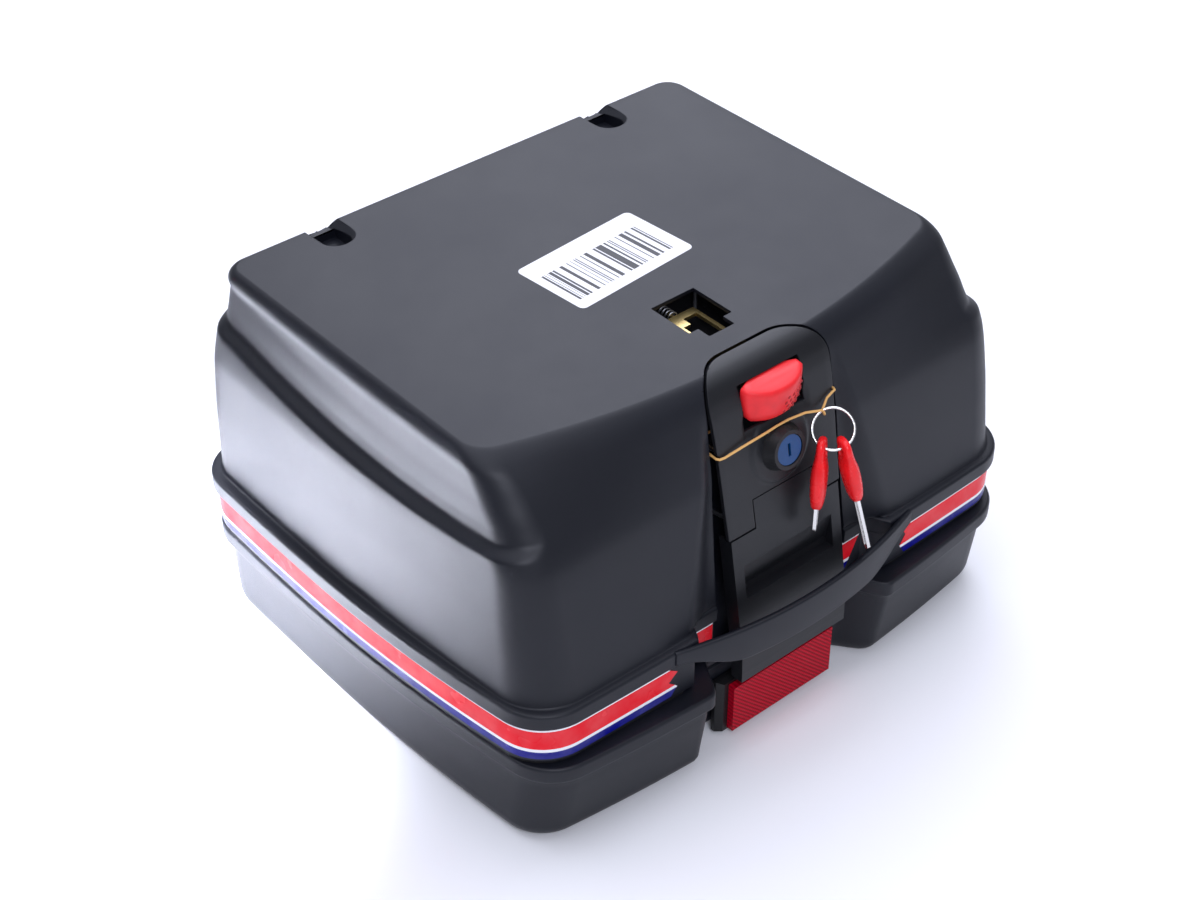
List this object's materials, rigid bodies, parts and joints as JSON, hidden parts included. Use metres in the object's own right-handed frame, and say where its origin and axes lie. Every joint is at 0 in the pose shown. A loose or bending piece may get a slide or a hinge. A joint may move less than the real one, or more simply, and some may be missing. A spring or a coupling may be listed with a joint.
{
  "type": "motorcycle top case",
  "caption": "Hard-shell motorcycle top case with a hinged lid, carry handle, key lock, release button and quick-release mounting face.",
  "frame": {"origin": "on the floor under the middle of the case's box, the case lying on its lid", "axes": "+Z runs from the lid's crown up to the mounting face, +X is across the case and -Y is the side with the lock and the handle. On a motorcycle the case is turned over: the mounting face points down."},
  "size_m": [0.451, 0.373, 0.266],
  "materials": {
    "shell_plastic": "fine moulded grain",
    "panel_plastic": "fine moulded grain",
    "trim_plastic": "moulded",
    "lens_red": "ribbed prisms",
    "seal_rubber": "extruded",
    "screw_steel": "zinc plated",
    "pin_steel": "drawn",
    "button_red": "satin",
    "plated_steel": "yellow zinc plated",
    "spring_steel": "drawn",
    "bezel_plastic": "satin",
    "plug_metal": "cast and machined",
    "cap_blue": "satin",
    "stripe_film": "printed film",
    "label_paper": "printed paper",
    "band_rubber": "matte",
    "ring_steel": "nickel plated",
    "key_plastic": "satin",
    "blade_steel": "nickel plated"
  },
  "bodies": {
    "lid": {"lid_shell": "shell_plastic", "rim_seal": "seal_rubber", "reflector_housing": "trim_plastic", "reflector_lens": "lens_red", "reflector_screws": "screw_steel", "lid_tongue": "panel_plastic", "tongue_screws": "screw_steel", "hinge_pin_left": "pin_steel", "hinge_pin_right": "pin_steel"},
    "base": {"base_shell": "shell_plastic", "mechanism_cover": "trim_plastic", "cover_screws": "screw_steel", "lock_panel": "panel_plastic", "panel_screws": "screw_steel", "lock_barrel": "bezel_plastic", "lock_nut": "screw_steel", "stripe_left": "stripe_film", "stripe_right": "stripe_film", "stripe_valley_left": "stripe_film", "stripe_valley_right": "stripe_film", "stock_label": "label_paper", "rubber_band": "band_rubber"},
    "button": {"release_button": "button_red"},
    "latch": {"latch_slider": "plated_steel", "latch_spring": "spring_steel"},
    "plug": {"lock_plug": "plug_metal", "plug_cap": "cap_blue", "lock_cam": "plated_steel", "cam_screw": "screw_steel"},
    "ring": {"key_ring": "ring_steel"},
    "key_1": {"key_head_1": "key_plastic", "key_blade_1": "blade_steel"},
    "key_2": {"key_head_2": "key_plastic", "key_blade_2": "blade_steel"}
  },
  "joints": [
    {"name": "lid_hinge", "type": "hinge", "parent": "lid", "child": "base", "pos_m": [0, 0.1805, 0.0745], "axis": [-1, 0, 0], "range_deg": [0, 95]},
    {"name": "button_press", "type": "slide", "parent": "base", "child": "button", "axis": [0, 1, 0], "range_m": [0, 0.005], "stiffness_N_per_m": 400},
    {"name": "latch_slide", "type": "slide", "parent": "base", "child": "latch", "axis": [0, 1, 0], "range_m": [0, 0.005], "deforming": ["latch_spring"]},
    {"name": "plug_turn", "type": "hinge", "parent": "base", "child": "plug", "pos_m": [0, -0.14494, 0.209], "axis": [0, -0.9829, 0.184], "range_deg": [0, 90]},
    {"name": "ring_swing", "type": "hinge", "parent": "base", "child": "ring", "pos_m": [0.03311, -0.14798, 0.22085], "axis": [-1, 0, 0], "range_deg": [0, 25]},
    {"name": "key_1_swing", "type": "hinge", "parent": "ring", "child": "key_1", "pos_m": [0.02383, -0.15818, 0.20333], "axis": [-0.4292, 0.8014, 0.4165], "range_deg": [0, 25]},
    {"name": "key_2_swing", "type": "hinge", "parent": "ring", "child": "key_2", "pos_m": [0.03428, -0.16716, 0.20333], "axis": [-0.8566, 0.3045, -0.4166], "range_deg": [0, 25]}
  ],
  "couplings": [
    {"joint": "latch_slide", "follows": "button_press", "ratio": 1}
  ]
}
